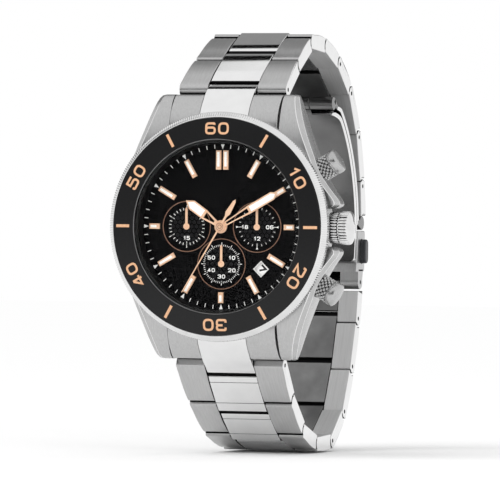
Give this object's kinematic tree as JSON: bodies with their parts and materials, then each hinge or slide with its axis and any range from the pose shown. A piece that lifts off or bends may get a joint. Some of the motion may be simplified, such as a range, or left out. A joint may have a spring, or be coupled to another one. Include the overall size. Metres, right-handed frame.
{
  "type": "chronograph wristwatch",
  "caption": "Steel dive-style chronograph wristwatch with black dial and turning bezel, crown and push buttons, and a link bracelet with a folding clasp",
  "frame": {"origin": "centre of the case back's flat outer face, on the axis of the dial", "axes": "+Y from the dial through the case back to the wrist, +Z to 12 o'clock, +X to the crown at 3 o'clock"},
  "size_m": [0.0471, 0.0671, 0.0812],
  "materials": {
    "brushed_steel": "brushed",
    "polished_steel": "polished",
    "blackened_steel": "dark coated",
    "black_lacquer": "satin",
    "rose_gold": "rose gold plated",
    "crystal": "clear",
    "seal_rubber": "matte",
    "movement_brass": "machined",
    "white_plastic": "matte",
    "grey_plastic": "matte",
    "circuit_green": "matte",
    "copper_wire": "enamelled copper wire"
  },
  "bodies": {
    "case": {"case_middle": "brushed_steel", "case_back": "brushed_steel", "case_back_gasket": "seal_rubber", "crystal": "crystal", "crystal_gasket": "white_plastic", "rehaut_ring": "black_lacquer", "bezel_click_spring": "brushed_steel", "dial": "black_lacquer", "movement_plate": "movement_brass", "movement_holder": "grey_plastic", "battery": "brushed_steel", "battery_clamp": "brushed_steel", "circuit_board": "circuit_green", "drive_coil": "copper_wire", "crown_tube": "brushed_steel", "pusher_sleeve_upper": "brushed_steel", "pusher_sleeve_lower": "brushed_steel", "pusher_spring_upper": "brushed_steel", "pusher_spring_lower": "brushed_steel", "end_link_upper": "brushed_steel", "end_link_lower": "brushed_steel", "spring_bar_upper": "brushed_steel", "spring_bar_lower": "brushed_steel"},
    "bezel": {"bezel_ring": "polished_steel", "bezel_insert": "black_lacquer"},
    "date_wheel": {"date_wheel": "white_plastic"},
    "hour_hand": {"hour_hand": "rose_gold"},
    "minute_hand": {"minute_hand": "rose_gold"},
    "chrono_seconds_hand": {"chrono_seconds_hand": "rose_gold"},
    "small_seconds_hand": {"small_seconds_hand": "rose_gold"},
    "minute_counter_hand": {"minute_counter_hand": "rose_gold"},
    "day_counter_hand": {"day_counter_hand": "rose_gold"},
    "crown_seal": {"crown_gasket": "seal_rubber"},
    "crown": {"crown": "polished_steel", "winding_stem": "polished_steel"},
    "pusher_upper": {"pusher_upper": "brushed_steel"},
    "pusher_lower": {"pusher_lower": "brushed_steel"},
    "upper_link_1": {"upper_link_1": "brushed_steel"},
    "upper_link_2": {"upper_link_2": "brushed_steel"},
    "upper_link_3": {"upper_link_3": "brushed_steel"},
    "upper_link_4": {"upper_link_4": "brushed_steel"},
    "upper_link_5": {"upper_link_5": "brushed_steel"},
    "upper_link_6": {"upper_link_6": "brushed_steel"},
    "upper_link_7": {"upper_link_7": "brushed_steel"},
    "upper_link_8": {"upper_link_8": "brushed_steel"},
    "lower_link_1": {"lower_link_1": "brushed_steel"},
    "lower_link_2": {"lower_link_2": "brushed_steel"},
    "lower_link_3": {"lower_link_3": "brushed_steel"},
    "lower_link_4": {"lower_link_4": "brushed_steel"},
    "lower_link_5": {"lower_link_5": "brushed_steel"},
    "lower_link_6": {"lower_link_6": "brushed_steel"},
    "lower_link_7": {"lower_link_7": "brushed_steel"},
    "lower_link_8": {"lower_link_8": "brushed_steel", "clasp_spring_bar": "brushed_steel"},
    "clasp_fold_leaf": {"clasp_fold_leaf": "brushed_steel"},
    "clasp": {"clasp_blade": "polished_steel", "clasp_housing": "brushed_steel", "clasp_button_spring": "brushed_steel"},
    "clasp_button_right": {"clasp_button_right": "blackened_steel"},
    "clasp_button_left": {"clasp_button_left": "blackened_steel"}
  },
  "joints": [
    {"name": "bezel_turn", "type": "hinge", "parent": "case", "child": "bezel", "pos_m": [0, 0, 0], "axis": [0, 1, 0], "continuous": true},
    {"name": "date_turn", "type": "hinge", "parent": "case", "child": "date_wheel", "pos_m": [0, 0, 0], "axis": [0, 1, 0], "continuous": true},
    {"name": "minute_turn", "type": "hinge", "parent": "case", "child": "minute_hand", "pos_m": [0, 0, 0], "axis": [0, 1, 0], "continuous": true},
    {"name": "hour_turn", "type": "hinge", "parent": "case", "child": "hour_hand", "pos_m": [0, 0, 0], "axis": [0, 1, 0], "continuous": true},
    {"name": "day_turn", "type": "hinge", "parent": "case", "child": "day_counter_hand", "pos_m": [0.0071, 0, 0], "axis": [0, 1, 0], "continuous": true},
    {"name": "chrono_turn", "type": "hinge", "parent": "case", "child": "chrono_seconds_hand", "pos_m": [0, 0, 0], "axis": [0, 1, 0], "continuous": true},
    {"name": "minute_counter_turn", "type": "hinge", "parent": "case", "child": "minute_counter_hand", "pos_m": [-0.0071, 0, 0], "axis": [0, 1, 0], "continuous": true},
    {"name": "small_seconds_turn", "type": "hinge", "parent": "case", "child": "small_seconds_hand", "pos_m": [0, 0, -0.0071], "axis": [0, 1, 0], "continuous": true},
    {"name": "crown_pull", "type": "slide", "parent": "case", "child": "crown_seal", "axis": [1, 0, 0], "range_m": [0, 0.001]},
    {"name": "crown_turn", "type": "hinge", "parent": "crown_seal", "child": "crown", "pos_m": [0.02, -0.0045, 0], "axis": [1, 0, 0], "continuous": true},
    {"name": "pusher_upper_press", "type": "slide", "parent": "case", "child": "pusher_upper", "axis": [-0.866, 0, -0.5], "range_m": [0, 0.0009], "stiffness_N_per_m": 400, "springref_m": -0.001, "deforming": ["pusher_spring_upper"]},
    {"name": "pusher_lower_press", "type": "slide", "parent": "case", "child": "pusher_lower", "axis": [-0.866, 0, 0.5], "range_m": [0, 0.0009], "stiffness_N_per_m": 400, "springref_m": -0.001, "deforming": ["pusher_spring_lower"]},
    {"name": "upper_hinge_1", "type": "hinge", "parent": "case", "child": "upper_link_1", "pos_m": [0, -0.0005, 0.0264], "axis": [1, 0, 0], "range_deg": [0, 38]},
    {"name": "upper_hinge_2", "type": "hinge", "parent": "upper_link_1", "child": "upper_link_2", "pos_m": [0, 0.00811, 0.03178], "axis": [1, 0, 0], "range_deg": [0, 6]},
    {"name": "upper_hinge_3", "type": "hinge", "parent": "upper_link_2", "child": "upper_link_3", "pos_m": [0, 0.01723, 0.03623], "axis": [1, 0, 0], "range_deg": [0, 29]},
    {"name": "upper_hinge_4", "type": "hinge", "parent": "upper_link_3", "child": "upper_link_4", "pos_m": [0, 0.02737, 0.0357], "axis": [1, 0, 0], "range_deg": [0, 15]},
    {"name": "upper_hinge_5", "type": "hinge", "parent": "upper_link_4", "child": "upper_link_5", "pos_m": [0, 0.03702, 0.03256], "axis": [1, 0, 0], "range_deg": [0, 15]},
    {"name": "upper_hinge_6", "type": "hinge", "parent": "upper_link_5", "child": "upper_link_6", "pos_m": [0, 0.04553, 0.02703], "axis": [1, 0, 0], "range_deg": [0, 25]},
    {"name": "upper_hinge_7", "type": "hinge", "parent": "upper_link_6", "child": "upper_link_7", "pos_m": [0, 0.05091, 0.01842], "axis": [1, 0, 0], "range_deg": [0, 16]},
    {"name": "upper_hinge_8", "type": "hinge", "parent": "upper_link_7", "child": "upper_link_8", "pos_m": [0, 0.05371, 0.00867], "axis": [1, 0, 0], "range_deg": [0, 10]},
    {"name": "fold_leaf_hinge", "type": "hinge", "parent": "upper_link_8", "child": "clasp_fold_leaf", "pos_m": [0, 0.05448, 0.00131], "axis": [1, 0, 0], "range_deg": [0, 20]},
    {"name": "clasp_fold_hinge", "type": "hinge", "parent": "clasp_fold_leaf", "child": "clasp", "pos_m": [0, 0.03693, 0.02481], "axis": [-1, 0, 0], "range_deg": [0, 90]},
    {"name": "lower_hinge_1", "type": "hinge", "parent": "case", "child": "lower_link_1", "pos_m": [0, -0.0005, -0.0264], "axis": [-1, 0, 0], "range_deg": [0, 24]},
    {"name": "lower_hinge_2", "type": "hinge", "parent": "lower_link_1", "child": "lower_link_2", "pos_m": [0, 0.00655, -0.0337], "axis": [-1, 0, 0], "range_deg": [0, 11]},
    {"name": "lower_hinge_3", "type": "hinge", "parent": "lower_link_2", "child": "lower_link_3", "pos_m": [0, 0.01487, -0.03952], "axis": [-1, 0, 0], "range_deg": [0, 20]},
    {"name": "lower_hinge_4", "type": "hinge", "parent": "lower_link_3", "child": "lower_link_4", "pos_m": [0, 0.02467, -0.04215], "axis": [-1, 0, 0], "range_deg": [0, 17]},
    {"name": "lower_hinge_5", "type": "hinge", "parent": "lower_link_4", "child": "lower_link_5", "pos_m": [0, 0.03481, -0.0418], "axis": [-1, 0, 0], "range_deg": [0, 31]},
    {"name": "lower_hinge_6", "type": "hinge", "parent": "lower_link_5", "child": "lower_link_6", "pos_m": [0, 0.04333, -0.03627], "axis": [-1, 0, 0], "range_deg": [0, 28]},
    {"name": "lower_hinge_7", "type": "hinge", "parent": "lower_link_6", "child": "lower_link_7", "pos_m": [0, 0.04825, -0.02739], "axis": [-1, 0, 0], "range_deg": [0, 9]},
    {"name": "lower_hinge_8", "type": "hinge", "parent": "lower_link_7", "child": "lower_link_8", "pos_m": [0, 0.05172, -0.01785], "axis": [-1, 0, 0], "range_deg": [0, 9]},
    {"name": "clasp_button_right_press", "type": "slide", "parent": "clasp", "child": "clasp_button_right", "axis": [-1, 0, 0], "range_m": [0, 0.0007], "stiffness_N_per_m": 300, "springref_m": -0.001, "deforming": ["clasp_button_spring"]},
    {"name": "clasp_button_left_press", "type": "slide", "parent": "clasp", "child": "clasp_button_left", "axis": [1, 0, 0], "range_m": [0, 0.0007], "stiffness_N_per_m": 300, "springref_m": -0.001}
  ],
  "couplings": [
    {"joint": "hour_turn", "follows": "minute_turn", "ratio": 0.083333},
    {"joint": "day_turn", "follows": "minute_turn", "ratio": 0.041667},
    {"joint": "minute_counter_turn", "follows": "chrono_turn", "ratio": 0.033333},
    {"joint": "upper_hinge_2", "follows": "upper_hinge_1", "ratio": 0.15789},
    {"joint": "upper_hinge_3", "follows": "upper_hinge_1", "ratio": 0.76316},
    {"joint": "upper_hinge_4", "follows": "upper_hinge_1", "ratio": 0.39474},
    {"joint": "upper_hinge_5", "follows": "upper_hinge_1", "ratio": 0.39474},
    {"joint": "upper_hinge_6", "follows": "upper_hinge_1", "ratio": 0.65789},
    {"joint": "upper_hinge_7", "follows": "upper_hinge_1", "ratio": 0.42105},
    {"joint": "upper_hinge_8", "follows": "upper_hinge_1", "ratio": 0.26316},
    {"joint": "fold_leaf_hinge", "follows": "upper_hinge_1", "ratio": 0.52632},
    {"joint": "clasp_fold_hinge", "follows": "upper_hinge_1", "ratio": 2.3684},
    {"joint": "lower_hinge_2", "follows": "lower_hinge_1", "ratio": 0.45833},
    {"joint": "lower_hinge_3", "follows": "lower_hinge_1", "ratio": 0.83333},
    {"joint": "lower_hinge_4", "follows": "lower_hinge_1", "ratio": 0.70833},
    {"joint": "lower_hinge_5", "follows": "lower_hinge_1", "ratio": 1.2917},
    {"joint": "lower_hinge_6", "follows": "lower_hinge_1", "ratio": 1.1667},
    {"joint": "lower_hinge_7", "follows": "lower_hinge_1", "ratio": 0.375},
    {"joint": "lower_hinge_8", "follows": "lower_hinge_1", "ratio": 0.375}
  ]
}
